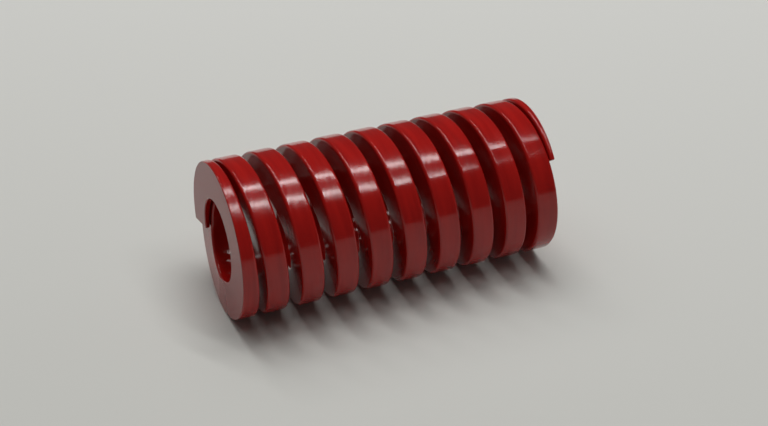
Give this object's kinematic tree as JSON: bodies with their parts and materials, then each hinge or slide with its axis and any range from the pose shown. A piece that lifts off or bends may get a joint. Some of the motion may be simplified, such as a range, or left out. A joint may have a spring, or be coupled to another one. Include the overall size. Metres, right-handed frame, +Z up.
{
  "type": "die spring",
  "caption": "Red heavy-load die spring: rectangular wire coiled right-handed, with closed and ground flat ends.",
  "frame": {"origin": "centre of the lower ground face, on the coil axis", "axes": "+Z up the coil axis from one ground face to the other, +X through the tip of the wire at the lower end"},
  "size_m": [0.0242, 0.0242, 0.051],
  "materials": {
    "red_enamel": "thin glossy red enamel over the whole drawn steel wire, satin where it covers the two ground faces"
  },
  "bodies": {
    "root": {"die_spring": "red_enamel"}
  },
  "joints": []
}
